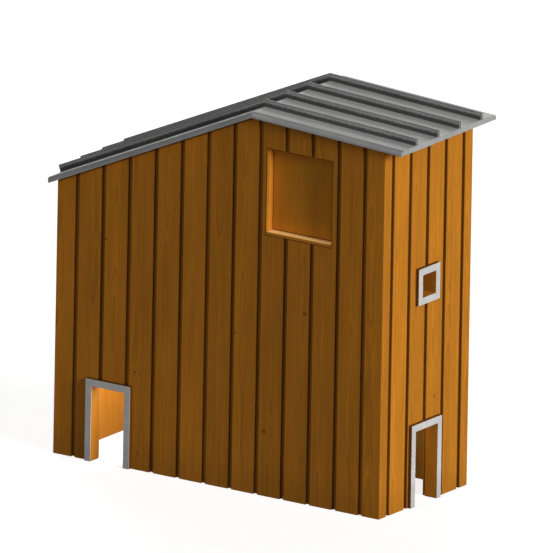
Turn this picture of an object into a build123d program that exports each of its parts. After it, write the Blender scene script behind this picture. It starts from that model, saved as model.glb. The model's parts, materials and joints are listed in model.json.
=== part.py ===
from build123d import *
import math
import os

# Tall walk-up chicken coop: boarded walls on a stud frame, lined inside with plywood,
# under a ribbed steel roof in two unequal slopes.  Millimetres, +Z up.
# It is modelled from the front left bottom corner of the walls (X along the front,
# Y towards the back) and moved at the end so that the origin is the centre of its base.

# ---------------------------------------------------------------- overall sizes
length = 2500.0            # front wall, outside
depth = 1000.0             # end walls, outside
left_height = 1810.0       # outside of the left wall, up to the roof's underside
ridge_height = 2495.0      # underside of the roof at the ridge
right_height = 2447.0      # outside of the right wall, up to the roof's underside
ridge_from_right = 1000.0  # ridge line to the outside of the right wall

# ---------------------------------------------------------------- wall make-up
board_thick = 28.0
groove_deep = 20.0         # shadow groove; the rest of the board is the lap behind it
groove_wide = 30.0
board_pitch = 200.0
long_first_groove = 150.0  # corner to the first groove's centre, front and back
end_first_groove = 100.0   # the same on the end walls
back_wall_bays = 4
least_board = 40.0         # no groove is cut nearer than this to the far corner
edge_ease = 2.0            # bevel along each board's face
stud_deep = 34.0
stud_wide = 45.0
lining_thick = 9.0
wall_thick = board_thick + stud_deep + lining_thick

# ---------------------------------------------------------------- openings
pop_wide = 250.0
pop_high = 500.0
front_pop_from_left = 300.0
right_pop_from_front = 375.0
frame_wide = 45.0          # face width of the timber round each hole
frame_proud = 21.0         # how far that timber stands out of the boards
face_thick = 3.0           # painted plate on the timber's front
vent_size = 150.0
vent_from_front = 425.0
vent_bottom = 1375.0
hatch_wide = 500.0
hatch_high = 550.0
hatch_from_right = 400.0
hatch_bottom = 1750.0
sill_thick = 20.0

# ---------------------------------------------------------------- roof
roof_thick = 36.0          # deck, battens and sheet together, without the ribs
deck_thick = 12.0
sheet_thick = 1.0
side_overhang = 40.0       # front and back
left_overhang = 45.0       # beyond the left wall, at the underside
right_overhang = 150.0
verge_radius = 32.0
rib_count = 4
rib_pitch = 246.0
rib_high = 48.0
rib_foot_half = 13.0
rib_top_half = 8.0
rib_foot_radius = 11.0
rib_top_radius = 6.0
rib_plug_long = 20.0
trim_thick = 2.0
batten_wide = 50.0
batten_gap = 420.0         # largest clear space between battens

# ---------------------------------------------------------------- sliding doors
door_thick = 12.0
door_lap = 20.0            # door beyond the hole on each side
door_top_lap = 30.0
door_play = 0.5            # each side of the door's thickness
door_side_play = 2.0
door_rest_gap = 10.0       # raised door's bottom edge above the hole
door_ground_gap = 5.0      # lowered door's bottom edge above the ground
rail_wide = 25.0
rail_lap = 10.0            # cover strip over the door's edge
cover_thick = 8.0
pull_size = (120.0, 18.0, 20.0)      # along the wall, out from it, high
shutter_thick = 9.0
shutter_pull_size = (30.0, 14.0, 60.0)
shutter_edge_play = 0.5
shutter_rail_lap = 5.0

# ---------------------------------------------------------------- hatch and its ironwork
panel_thick = 18.0
panel_lap = 12.0           # over the lining round the hole
panel_gap = 3.0            # to the packers at its sides
packer_wide = 45.0
hinge_high = 80.0
hinge_leaf_wide = 30.0
hinge_leaf_thick = 2.0
hinge_barrel_radius = 3.6
hinge_pin_radius = 1.6
running_gap = 0.05
hinge_axis_out = 4.0       # hinge centre in from the panel's inner face
hinge_end_gap = 0.3
hinge_from_edge = 90.0
button_long = 45.0
button_short = 14.0
button_wide = 22.0
button_thick = 8.0
button_gap = 0.3
bolt_radius = 3.0
bolt_head_radius = 8.0
bolt_head_thick = 4.0
bolt_into_wall = 30.0
button_from_hatch = 25.0   # bolt's centre, in the stud beside the hole

# ---------------------------------------------------------------- inside fittings
loft_height = 1600.0       # top of the bearers
loft_thick = 15.0
loft_long = 979.0          # in from the right wall's lining
bearer_high = 70.0
nest_deep = 300.0
nest_high = 340.0
nest_count = 3
nest_board = 12.0
nest_lip = 90.0
nest_row_long = 900.0
nest_from_right_wall = 30.0
perch_size = 45.0
perch_round = 10.0
perch_height = 1450.0      # top of the cleats
perch_places = (500.0, 850.0)
cleat_wide = 70.0
cleat_high = 70.0
cleat_thick = 34.0
ramp_foot_from_left = 320.0
ramp_wide = 250.0
ramp_thick = 18.0
ramp_from_back = 60.0
ramp_cleat = (25.0, 12.0)
ramp_cleat_pitch = 160.0

# ---------------------------------------------------------------- worked out from those
ridge_x = length - ridge_from_right
left_angle = math.degrees(math.atan2(ridge_height - left_height, ridge_x))
right_angle = math.degrees(math.atan2(ridge_height - right_height, ridge_from_right))
stud_back = board_thick + stud_deep
reach = 3.0 * (length + depth + ridge_height)   # longer than anything here
hatch_x1 = length - hatch_from_right
hatch_x0 = hatch_x1 - hatch_wide
hatch_top = hatch_bottom + hatch_high
sill_bottom = hatch_bottom - sill_thick
panel_x0 = hatch_x0 - panel_lap
panel_x1 = hatch_x1 + panel_lap
panel_back = wall_thick + panel_thick
loft_x1 = length - wall_thick
loft_x0 = loft_x1 - loft_long
nest_x1 = loft_x1 - nest_from_right_wall
back_face = depth - wall_thick

nodes = {}


def node(name, *shapes):
    """Keep a sub-part's solids under its name."""
    solids = [solid for shape in shapes for solid in shape.solids()]
    nodes.setdefault(name, []).extend(solids)


# ================================================================ basic shapes
def block(x0, x1, y0, y1, z0, z1):
    """Square-cornered solid between two corners."""
    centre = Pos((x0 + x1) / 2, (y0 + y1) / 2, (z0 + z1) / 2)
    return centre * Box(x1 - x0, y1 - y0, z1 - z0)


def upright_prism(points, z0, z1):
    """Solid with an outline in plan."""
    outline = make_face(Polyline(*points, close=True))
    return Pos(0, 0, z0) * extrude(outline, amount=z1 - z0, dir=(0, 0, 1))


def side_prism(points, y0, y1):
    """Solid with an outline of (x, z) points, from y0 to y1."""
    outline = make_face(Polyline(*[(x, y0, z) for x, z in points], close=True))
    return extrude(outline, amount=y1 - y0, dir=(0, 1, 0))


def under_roof(drop=0.0):
    """All the space below the roof's underside, lowered by drop."""
    left_x = -length
    right_x = 2 * length
    left_z = ridge_height - (ridge_x - left_x) * math.tan(math.radians(left_angle))
    right_z = ridge_height - (right_x - ridge_x) * math.tan(math.radians(right_angle))
    points = [(left_x, left_z - drop), (ridge_x, ridge_height - drop), (right_x, right_z - drop),
              (right_x, -reach), (left_x, -reach)]
    return side_prism(points, -depth, 2 * depth)


below_roof = under_roof()
below_plates = under_roof(stud_wide)


def wall_point(wall, along, inward):
    """Plan position of a point given along a wall and inward from its outer face."""
    if wall == "front":
        return (along, inward)
    if wall == "back":
        return (along, depth - inward)
    if wall == "left":
        return (inward, along)
    return (length - inward, along)


def wall_block(wall, a0, a1, in0, in1, z0, z1):
    """Square-cornered solid given along a wall, inward from its face, and up."""
    xa, ya = wall_point(wall, a0, in0)
    xb, yb = wall_point(wall, a1, in1)
    return block(min(xa, xb), max(xa, xb), min(ya, yb), max(ya, yb), z0, z1)


# ================================================================ holes in the walls
front_pop = ("front", front_pop_from_left, front_pop_from_left + pop_wide, 0.0, pop_high)
right_pop = ("right", right_pop_from_front, right_pop_from_front + pop_wide, 0.0, pop_high)
vent = ("right", vent_from_front, vent_from_front + vent_size, vent_bottom, vent_bottom + vent_size)


def frame_cut(hole):
    """Space that a hole and the timber round it take out of a wall."""
    wall, a0, a1, z0, z1 = hole
    low = z0 - frame_wide if z0 > 0 else -frame_wide
    return wall_block(wall, a0 - frame_wide, a1 + frame_wide, -frame_proud, wall_thick,
                      low, z1 + frame_wide)


hatch_cut = block(hatch_x0, hatch_x1, -frame_proud, wall_thick, sill_bottom, hatch_top)
wall_cuts = {"front": [frame_cut(front_pop), hatch_cut],
             "right": [frame_cut(right_pop), frame_cut(vent)],
             "back": [],
             "left": []}


# ================================================================ boarding
def board_outline(start, end, has_lap, first, last):
    """Plan of one board: (along, inward) points, mitred at a corner of the coop."""
    points = []
    if first:
        points.append((start, 0.0))
    else:
        points.append((start, edge_ease))
        points.append((start + edge_ease, 0.0))
    if last:
        points.append((end, 0.0))
        points.append((end - board_thick, board_thick))
    else:
        points.append((end - edge_ease, 0.0))
        points.append((end, edge_ease))
    if has_lap:
        points.append((end, groove_deep))
        points.append((end + groove_wide, groove_deep))
        points.append((end + groove_wide, board_thick))
    points.append((start + board_thick if first else start, board_thick))
    return points


def wall_boards(wall, wall_length, first_groove):
    """The upright boards of one wall, cut round its holes and under the roof."""
    count = 1 + int((wall_length - least_board - groove_wide / 2 - first_groove) // board_pitch)
    grooves = [first_groove + board_pitch * i for i in range(count)]
    starts = [0.0] + [groove + groove_wide / 2 for groove in grooves]
    ends = [groove - groove_wide / 2 for groove in grooves] + [wall_length]
    boards = []
    for i, (start, end) in enumerate(zip(starts, ends)):
        outline = board_outline(start, end, i < count, i == 0, i == count)
        points = [wall_point(wall, along, inward) for along, inward in outline]
        board = upright_prism(points, 0.0, ridge_height + 1.0) & below_roof
        for cut in wall_cuts[wall]:
            board = board - cut
        boards.append(board)
    return boards


def boarding():
    for i, board in enumerate(wall_boards("front", length, long_first_groove)):
        node(f"front_board_{i + 1:02d}", board)
    for i, board in enumerate(wall_boards("right", depth, end_first_groove)):
        node(f"right_board_{i + 1}", board)
    node("back_boards", *wall_boards("back", length, long_first_groove))
    node("left_boards", *wall_boards("left", depth, end_first_groove))


# ================================================================ stud frame
def mean(a, b):
    return (a + b) / 2


def timber(wall, a0, a1, z0, z1):
    """Length of stud timber lying in a wall, behind the boards."""
    return wall_block(wall, a0, a1, board_thick, stud_back, z0, z1)


def stud(wall, start):
    """One stud, from the sole plate to the top plate."""
    return timber(wall, start, start + stud_wide, stud_wide, ridge_height) & below_plates


def stud_frame():
    """Sole plates, studs, top plates and the rails over and under the holes."""
    first = board_thick
    last = length - board_thick - stud_wide
    _, pop_a0, pop_a1, _, _ = front_pop
    before_pop = pop_a0 - frame_wide - stud_wide
    after_pop = pop_a1 + frame_wide
    before_hatch = hatch_x0 - stud_wide
    bolt = button_bolt_hole()
    front = [first, before_pop, after_pop, mean(after_pop, before_hatch), before_hatch,
             hatch_x1, last]
    back = [first + (last - first) * i / back_wall_bays for i in range(back_wall_bays + 1)]
    node("long_wall_studs", *[stud("front", start) - bolt for start in front])
    node("long_wall_studs", *[stud("back", start) for start in back])

    near = stud_back
    far = depth - stud_back - stud_wide
    _, end_a0, end_a1, _, _ = right_pop
    before_end_pop = end_a0 - frame_wide - stud_wide
    after_end_pop = end_a1 + frame_wide
    node("end_wall_studs", *[stud("right", a) for a in (near, before_end_pop, after_end_pop, far)])
    node("end_wall_studs", *[stud("left", a) for a in (near, mean(near, far), far)])

    node("sole_plates",
         timber("front", board_thick, pop_a0 - frame_wide, 0.0, stud_wide),
         timber("front", pop_a1 + frame_wide, length - board_thick, 0.0, stud_wide),
         timber("back", board_thick, length - board_thick, 0.0, stud_wide),
         timber("left", stud_back, depth - stud_back, 0.0, stud_wide),
         timber("right", stud_back, end_a0 - frame_wide, 0.0, stud_wide),
         timber("right", end_a1 + frame_wide, depth - stud_back, 0.0, stud_wide))

    for wall in ("front", "back"):
        whole = timber(wall, board_thick, length - board_thick, 0.0, ridge_height + 1.0)
        band = (whole & below_roof) - below_plates
        node("top_plates", band & block(-reach, ridge_x, -reach, reach, -reach, reach))
        node("top_plates", band & block(ridge_x, reach, -reach, reach, -reach, reach))
    for wall in ("left", "right"):
        whole = timber(wall, stud_back, depth - stud_back, 0.0, ridge_height + 1.0)
        node("top_plates", (whole & below_roof) - below_plates)

    pop_rail = pop_high + frame_wide
    vent_low = vent_bottom - frame_wide
    vent_high = vent_bottom + vent_size + frame_wide
    node("opening_headers",
         timber("front", pop_a0 - frame_wide, pop_a1 + frame_wide, pop_rail, pop_rail + stud_wide),
         timber("front", hatch_x0, hatch_x1, hatch_top, hatch_top + stud_wide),
         timber("front", hatch_x0, hatch_x1, sill_bottom - stud_wide, sill_bottom),
         timber("right", end_a0 - frame_wide, end_a1 + frame_wide, pop_rail, pop_rail + stud_wide),
         timber("right", end_a0 - frame_wide, end_a1 + frame_wide, vent_low - stud_wide, vent_low),
         timber("right", end_a0 - frame_wide, end_a1 + frame_wide, vent_high, vent_high + stud_wide))


# ================================================================ plywood lining
def sheet_of_lining(wall, a0, a1, z0, z1):
    """One rectangle of lining, trimmed under the roof."""
    return wall_block(wall, a0, a1, stud_back, wall_thick, z0, z1) & below_roof


def lining():
    """Plywood inside each wall, in pieces that butt round the holes."""
    top = ridge_height
    _, pop_a0, pop_a1, _, pop_z1 = front_pop
    p0 = pop_a0 - frame_wide
    p1 = pop_a1 + frame_wide
    pop_top = pop_z1 + frame_wide
    bolt = button_bolt_hole()
    node("front_lining",
         sheet_of_lining("front", stud_back, p0, 0.0, top),
         sheet_of_lining("front", p0, p1, pop_top, top),
         sheet_of_lining("front", p1, hatch_x0, 0.0, top),
         sheet_of_lining("front", hatch_x0, hatch_x1, 0.0, sill_bottom),
         sheet_of_lining("front", hatch_x0, hatch_x1, hatch_top, top),
         sheet_of_lining("front", hatch_x1, length - stud_back, 0.0, top) - bolt)
    node("back_lining", sheet_of_lining("back", stud_back, length - stud_back, 0.0, top))

    near = wall_thick
    far = depth - wall_thick
    node("left_lining", sheet_of_lining("left", near, far, 0.0, top))
    _, end_a0, end_a1, _, _ = right_pop
    e0 = end_a0 - frame_wide
    e1 = end_a1 + frame_wide
    _, vent_a0, vent_a1, vent_z0, vent_z1 = vent
    v0 = vent_a0 - frame_wide
    v1 = vent_a1 + frame_wide
    node("right_lining",
         sheet_of_lining("right", near, e0, 0.0, top),
         sheet_of_lining("right", e0, v0, pop_top, top),
         sheet_of_lining("right", v0, v1, pop_top, vent_z0 - frame_wide),
         sheet_of_lining("right", v0, v1, vent_z1 + frame_wide, top),
         sheet_of_lining("right", v1, e1, pop_top, top),
         sheet_of_lining("right", e1, far, 0.0, top))


# ================================================================ timber round the holes
def pop_frame(hole, timber_name, face_name):
    """Two jambs and a head through the wall, with one painted plate on their faces."""
    wall, a0, a1, z0, z1 = hole
    out0 = -frame_proud
    node(timber_name,
         wall_block(wall, a0 - frame_wide, a0, out0, wall_thick, z0, z1),
         wall_block(wall, a1, a1 + frame_wide, out0, wall_thick, z0, z1),
         wall_block(wall, a0 - frame_wide, a1 + frame_wide, out0, wall_thick, z1, z1 + frame_wide))
    plate = wall_block(wall, a0 - frame_wide, a1 + frame_wide, out0 - face_thick, out0,
                       z0, z1 + frame_wide)
    node(face_name, plate - wall_block(wall, a0, a1, out0 - face_thick, out0, z0, z1))


def vent_frame():
    """Four timbers round the vent, with one painted plate on their faces."""
    wall, a0, a1, z0, z1 = vent
    out0 = -frame_proud
    low = z0 - frame_wide
    high = z1 + frame_wide
    node("vent_frame",
         wall_block(wall, a0 - frame_wide, a1 + frame_wide, out0, wall_thick, low, z0),
         wall_block(wall, a0 - frame_wide, a1 + frame_wide, out0, wall_thick, z1, high),
         wall_block(wall, a0 - frame_wide, a0, out0, wall_thick, z0, z1),
         wall_block(wall, a1, a1 + frame_wide, out0, wall_thick, z0, z1))
    plate = wall_block(wall, a0 - frame_wide, a1 + frame_wide, out0 - face_thick, out0, low, high)
    node("vent_face", plate - wall_block(wall, a0, a1, out0 - face_thick, out0, z0, z1))


# ================================================================ sliding doors
def pop_door(hole, name):
    """Raised door with its pull, and the two grooved rails it runs in."""
    wall, a0, a1, _, z1 = hole
    front = wall_thick + door_play
    back = front + door_thick
    low = z1 + door_rest_gap
    door_high = pop_high + door_top_lap
    left = a0 - door_lap
    right = a1 + door_lap
    node(name, wall_block(wall, left, right, front, back, low, low + door_high))
    pull_long, pull_out, pull_high = pull_size
    middle = mean(a0, a1)
    level = low + door_high / 2
    node(name, wall_block(wall, middle - pull_long / 2, middle + pull_long / 2,
                          back, back + pull_out, level - pull_high / 2, level + pull_high / 2))

    rail_top = low + door_high
    channel = back + door_play
    for edge, side in ((left, -1), (right, 1)):
        inner = edge + side * door_side_play
        outer = inner + side * rail_wide
        lip = edge - side * rail_lap
        node("slide_rails", wall_block(wall, min(inner, outer), max(inner, outer),
                                       wall_thick, channel, 0.0, rail_top))
        node("slide_rails", wall_block(wall, min(lip, outer), max(lip, outer),
                                       channel, channel + cover_thick, 0.0, rail_top))


def vent_shutter():
    """Small board that slides across the vent, parked towards the front, and its rails."""
    wall, a0, a1, z0, z1 = vent
    front = wall_thick + door_play
    back = front + shutter_thick
    wide = vent_size + 2 * door_lap
    left = a0 - door_lap - wide
    low = z0 - door_lap
    high = z1 + door_lap
    node("vent_shutter", wall_block(wall, left, left + wide, front, back, low, high))
    pull_wide, pull_out, pull_high = shutter_pull_size
    middle = left + wide / 2
    level = mean(low, high)
    node("vent_shutter", wall_block(wall, middle - pull_wide / 2, middle + pull_wide / 2,
                                    back, back + pull_out,
                                    level - pull_high / 2, level + pull_high / 2))
    channel = back + door_play
    rail_end = a1 + door_lap
    for edge, side in ((low, -1), (high, 1)):
        inner = edge + side * shutter_edge_play
        outer = inner + side * rail_wide
        lip = edge - side * shutter_rail_lap
        node("slide_rails", wall_block(wall, left, rail_end, wall_thick, channel,
                                       min(inner, outer), max(inner, outer)))
        node("slide_rails", wall_block(wall, left, rail_end, channel, channel + cover_thick,
                                       min(lip, outer), max(lip, outer)))


# ================================================================ hatch
hinge_x = panel_x0 - panel_gap / 2
hinge_y = panel_back + hinge_axis_out
button_x = hatch_x1 + button_from_hatch
button_z = mean(hatch_bottom, hatch_top)


def rod(x, y, z0, z1, radius):
    """Upright round bar."""
    return Pos(x, y, mean(z0, z1)) * Cylinder(radius, z1 - z0)


def level_rod(x, z, y0, y1, radius):
    """Round bar lying front to back."""
    return Pos(x, mean(y0, y1), z) * Rot(90, 0, 0) * Cylinder(radius, y1 - y0)


def button_bolt_hole():
    """Hole that the turn button's bolt fills in the packer, the lining and the stud."""
    return level_rod(button_x, button_z, wall_thick - bolt_into_wall, panel_back, bolt_radius)


def hatch():
    """Plain panel behind its hole, sill, packers at its sides, two hinges and a turn button."""
    z0 = hatch_bottom - panel_lap
    z1 = hatch_top + panel_lap
    node("hatch_sill", block(hatch_x0, hatch_x1, 0.0, wall_thick, sill_bottom, hatch_bottom))
    node("hatch_panel", block(panel_x0, panel_x1, wall_thick, panel_back, z0, z1))
    left_packer = panel_x0 - panel_gap - packer_wide
    right_packer = panel_x1 + panel_gap
    node("hatch_packers",
         block(left_packer, left_packer + packer_wide, wall_thick, panel_back, z0, z1),
         block(right_packer, right_packer + packer_wide, wall_thick, panel_back, z0, z1)
         - button_bolt_hole())
    for centre in (hatch_bottom + hinge_from_edge, hatch_top - hinge_from_edge):
        hinge(centre)

    y0 = panel_back + button_gap
    y1 = y0 + button_thick
    half = button_wide / 2
    blade = block(button_x - half, button_x + half, y0, y1,
                  button_z - button_short, button_z + button_long)
    blade = fillet(blade.edges().filter_by(Axis.Y), half - 1.0)
    bore = level_rod(button_x, button_z, y0, y1, bolt_radius + running_gap)
    node("turn_button", blade - bore)
    shank = level_rod(button_x, button_z, wall_thick - bolt_into_wall, y1 + button_gap, bolt_radius)
    head = level_rod(button_x, button_z, y1 + button_gap, y1 + button_gap + bolt_head_thick,
                     bolt_head_radius)
    node("turn_button_bolt", shank + head)


def hinge(centre):
    """Butt hinge: outer knuckles on the wall's leaf, the middle one on the panel's."""
    z0 = centre - hinge_high / 2
    third = hinge_high / 3
    leaf_y0 = panel_back
    leaf_y1 = panel_back + hinge_leaf_thick
    clear = hinge_barrel_radius + 1.0
    bore = rod(hinge_x, hinge_y, z0, z0 + hinge_high, hinge_pin_radius + running_gap)

    def knuckle(low, high, side):
        barrel = rod(hinge_x, hinge_y, low, high, hinge_barrel_radius)
        edge = hinge_x + side * clear
        tab = block(min(hinge_x, edge), max(hinge_x, edge), leaf_y0, leaf_y1, low, high)
        return barrel + tab

    wall_leaf = block(hinge_x - clear - hinge_leaf_wide, hinge_x - clear, leaf_y0, leaf_y1,
                      z0, z0 + hinge_high)
    wall_leaf = wall_leaf + knuckle(z0, z0 + third, -1)
    wall_leaf = wall_leaf + knuckle(z0 + 2 * third, z0 + hinge_high, -1)
    node("hinge_wall_leaves", wall_leaf - bore)
    panel_leaf = block(hinge_x + clear, hinge_x + clear + hinge_leaf_wide, leaf_y0, leaf_y1,
                       z0, z0 + hinge_high)
    middle = knuckle(z0 + third + hinge_end_gap, z0 + 2 * third - hinge_end_gap, 1)
    node("hinge_panel_leaves", panel_leaf + middle - bore)
    node("hinge_wall_leaves", rod(hinge_x, hinge_y, z0, z0 + hinge_high, hinge_pin_radius))


# ================================================================ roof
def round_corners(face, corners, radius):
    """Round the corners of a face that lie at the given (y, z) places."""
    chosen = [face.vertices().sort_by_distance((0, y, z))[0] for y, z in corners]
    return fillet(chosen, radius)


def roof_profile(inset):
    """Section across the roof, ribs up, drawn inset from the sheet's outside."""
    half = depth / 2 + side_overhang - inset
    pan = roof_thick - inset
    top = roof_thick + rib_high - inset
    foot = rib_foot_half - inset
    crest = rib_top_half - inset
    centres = [rib_pitch * (i - (rib_count - 1) / 2) for i in range(rib_count)]
    points = [(-half, -inset), (-half, pan)]
    for centre in centres:
        points += [(centre - foot, pan), (centre - crest, top), (centre + crest, top),
                   (centre + foot, pan)]
    points += [(half, pan), (half, -inset)]
    face = make_face(Polyline(*[(0, y, z) for y, z in points], close=True))
    face = round_corners(face, [(-half, pan), (half, pan)], verge_radius - inset)
    feet = [(c + side * foot, pan) for c in centres for side in (-1, 1)]
    face = round_corners(face, feet, rib_foot_radius + inset)
    crests = [(c + side * crest, top) for c in centres for side in (-1, 1)]
    return round_corners(face, crests, rib_top_radius - inset)


def run_of(face, start, end):
    """Sweep a roof section down the slope, from start to end."""
    return Pos(start, 0, 0) * extrude(face, amount=end - start, dir=(1, 0, 0))


def roof_slope(side):
    """One slope, modelled flat with X running down from the ridge, then tilted."""
    is_left = side == "left"
    angle = math.radians(left_angle if is_left else right_angle)
    run = ridge_x + left_overhang if is_left else ridge_from_right + right_overhang
    slope_long = run / math.cos(angle)
    hand = -1 if is_left else 1
    plane = Plane(origin=(ridge_x, depth / 2, ridge_height),
                  x_dir=(hand * math.cos(angle), 0, -math.sin(angle)),
                  z_dir=(hand * math.sin(angle), 0, math.cos(angle)))
    past_ridge = roof_thick + rib_high
    outer = roof_profile(0.0)
    inner = roof_profile(sheet_thick)
    half_mitre = math.radians((left_angle + right_angle) / 2)
    mitre = Rot(0, -math.degrees(half_mitre), 0) * Pos(reach / 2, 0, 0) * Box(reach, reach, reach)

    def place(shape):
        return plane * (shape & mitre)

    under_sheet = roof_thick - sheet_thick
    skin = run_of(outer, -past_ridge, slope_long) - run_of(inner, -past_ridge, slope_long)
    node(f"roof_sheet_{side}", place(skin))

    inner_end = run_of(inner, slope_long - rib_plug_long, slope_long)
    node("rib_end_plugs", place(inner_end & block(0, reach, -reach, reach, under_sheet, reach)))
    trim_end = run_of(inner, slope_long - trim_thick, slope_long)
    node("eave_trims", place(trim_end & block(0, reach, -reach, reach, 0, under_sheet)))

    deck_half = depth / 2 + side_overhang - sheet_thick * 2 - deck_side_inset()
    wood_end = slope_long - trim_thick
    node("roof_decks", place(block(-past_ridge, wood_end, -deck_half, deck_half,
                                    0, deck_thick)))
    batten_half = depth / 2 + side_overhang - verge_radius
    first = batten_wide / 2
    last = wood_end - batten_wide
    bays = math.ceil((last - first) / (batten_gap + batten_wide))
    for i in range(bays + 1):
        start = first + (last - first) * i / bays
        node("roof_battens", place(block(start, start + batten_wide, -batten_half, batten_half,
                                         deck_thick, under_sheet)))


def deck_side_inset():
    """How far the sheet's rounded side has come in at the deck's top."""
    rise = max(0.0, deck_thick - (roof_thick - verge_radius))
    inner_radius = verge_radius - sheet_thick
    return verge_radius - math.sqrt(inner_radius ** 2 - min(rise, inner_radius) ** 2)


# ================================================================ inside fittings
def loft():
    """Raised floor behind the hatch, on two bearers, with a row of nests at its back."""
    node("loft_bearers",
         block(loft_x0, loft_x1, wall_thick, wall_thick + stud_deep,
               loft_height - bearer_high, loft_height),
         block(loft_x0, loft_x1, back_face - stud_deep, back_face,
               loft_height - bearer_high, loft_height))
    deck_top = loft_height + loft_thick
    node("loft_deck", block(loft_x0, loft_x1, wall_thick, back_face, loft_height, deck_top))

    front = back_face - nest_deep
    nest_x0 = nest_x1 - nest_row_long
    step = (nest_x1 - nest_x0 - nest_board) / nest_count
    top = deck_top + nest_high
    for i in range(nest_count + 1):
        x = nest_x0 + step * i
        node("nest_box", block(x, x + nest_board, front, back_face, deck_top, top))
    for i in range(nest_count):
        x = nest_x0 + step * i + nest_board
        node("nest_box", block(x, x + step - nest_board, front, front + nest_board,
                               deck_top, deck_top + nest_lip))
    node("nest_box", block(nest_x0, nest_x1, front, back_face, top, top + nest_board))


def perches():
    """Rounded rails from front to back, each resting on a cleat at both ends."""
    for x in perch_places:
        rail = block(x - perch_size / 2, x + perch_size / 2, wall_thick, back_face,
                     perch_height, perch_height + perch_size)
        upper = rail.edges().filter_by(Axis.Y).group_by(Axis.Z)[-1]
        node("perches", fillet(upper, perch_round))
        for y0 in (wall_thick, back_face - cleat_thick):
            node("perch_cleats", block(x - cleat_wide / 2, x + cleat_wide / 2, y0, y0 + cleat_thick,
                                       perch_height - cleat_high, perch_height))


def ramp():
    """Plank from the ground to the loft's edge, with foothold strips across it."""
    head_z = loft_height + loft_thick
    rise = head_z / (loft_x0 - ramp_foot_from_left)
    angle = math.atan(rise)
    upright = ramp_thick / math.cos(angle)
    y1 = back_face - ramp_from_back
    y0 = y1 - ramp_wide
    plank = [(loft_x0, head_z), (loft_x0, head_z - upright),
             (loft_x0 - (head_z - upright) / rise, 0.0), (ramp_foot_from_left, 0.0)]
    node("ramp", side_prism(plank, y0, y1))
    strip_long, strip_thick = ramp_cleat
    plank_long = head_z / math.sin(angle)
    count = int((plank_long - ramp_cleat_pitch) // ramp_cleat_pitch)
    for i in range(count):
        along = ramp_cleat_pitch * (i + 1)
        plane = Plane(origin=(ramp_foot_from_left, mean(y0, y1), 0),
                      x_dir=(math.cos(angle), 0, math.sin(angle)),
                      z_dir=(-math.sin(angle), 0, math.cos(angle)))
        strip = block(along, along + strip_long, -ramp_wide / 2, ramp_wide / 2, 0, strip_thick)
        node("ramp", plane * strip)


# ================================================================ build and write
boarding()
stud_frame()
lining()
pop_frame(front_pop, "front_pop_frame", "front_pop_face")
pop_frame(right_pop, "right_pop_frame", "right_pop_face")
vent_frame()
pop_door(front_pop, "front_door")
pop_door(right_pop, "right_door")
vent_shutter()
hatch()
roof_slope("left")
roof_slope("right")
loft()
perches()
ramp()

everything = Compound([solid for solids in nodes.values() for solid in solids])
box = everything.bounding_box()
shift = Pos(-(box.min.X + box.max.X) / 2, -(box.min.Y + box.max.Y) / 2, -box.min.Z)
print("move to origin:", shift.position)
print("overall size:", box.size)
print("hatch hinge axis:", shift.position + Vector(hinge_x, hinge_y, button_z))
print("turn button axis:", shift.position + Vector(button_x, panel_back, button_z))
print("pop door travel:", door_rest_gap + pop_high - door_ground_gap)
print("vent shutter travel:", vent_size + 2 * door_lap)

os.makedirs("parts", exist_ok=True)
for name, solids in nodes.items():
    placed = [shift * solid for solid in solids]
    whole = placed[0] if len(placed) == 1 else Compound(placed)
    export_step(whole, f"parts/{name}.step")
print(len(nodes), "nodes")
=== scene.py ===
"""Tall boarded chicken coop: finishes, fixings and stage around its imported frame."""

import json
import math

import bmesh
import bpy
from bpy.props import FloatProperty, FloatVectorProperty, PointerProperty
from mathutils import Matrix, Vector

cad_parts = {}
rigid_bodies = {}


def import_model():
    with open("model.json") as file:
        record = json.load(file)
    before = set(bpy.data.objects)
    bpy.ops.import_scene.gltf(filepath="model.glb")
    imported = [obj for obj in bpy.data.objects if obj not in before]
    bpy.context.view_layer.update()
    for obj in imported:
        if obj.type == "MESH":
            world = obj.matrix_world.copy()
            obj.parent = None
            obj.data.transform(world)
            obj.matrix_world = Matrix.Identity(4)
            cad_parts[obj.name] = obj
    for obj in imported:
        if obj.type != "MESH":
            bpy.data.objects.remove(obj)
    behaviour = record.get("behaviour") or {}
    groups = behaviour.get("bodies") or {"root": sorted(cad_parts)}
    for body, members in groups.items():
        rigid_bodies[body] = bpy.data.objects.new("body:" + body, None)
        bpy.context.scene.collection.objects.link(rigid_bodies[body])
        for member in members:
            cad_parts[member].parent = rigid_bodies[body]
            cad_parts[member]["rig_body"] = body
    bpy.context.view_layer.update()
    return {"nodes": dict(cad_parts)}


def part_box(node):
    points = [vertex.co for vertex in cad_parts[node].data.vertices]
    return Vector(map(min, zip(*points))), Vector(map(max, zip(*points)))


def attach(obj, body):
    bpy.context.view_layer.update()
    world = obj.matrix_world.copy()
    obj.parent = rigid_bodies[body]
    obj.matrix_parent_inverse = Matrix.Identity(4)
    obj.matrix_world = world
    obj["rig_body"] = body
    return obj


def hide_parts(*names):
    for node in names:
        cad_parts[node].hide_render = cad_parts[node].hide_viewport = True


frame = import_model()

bl_info = {
    "name": "Chicken coop",
    "version": (1, 0, 0),
    "blender": (4, 5, 0),
    "location": "3D View > Sidebar > Coop",
    "description": "Finishes and fixings for a tall boarded chicken coop",
    "category": "Object",
}

MM = 0.001
X, Y, Z = 0, 1, 2


# ------------------------------------------------------------------ places read from the frame
def low(node, axis):
    """Lowest coordinate of a CAD node along one axis."""
    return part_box(node)[0][axis]


def high(node, axis):
    """Highest coordinate of a CAD node along one axis."""
    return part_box(node)[1][axis]


FRONT = low("front_board_01", Y)        # outer faces of the four walls
LEFT = low("front_board_01", X)
RIGHT = high("right_board_1", X)
BACK = high("back_boards", Y)
WALL_IN = high("front_lining", Y)       # inner face of the front wall


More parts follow.
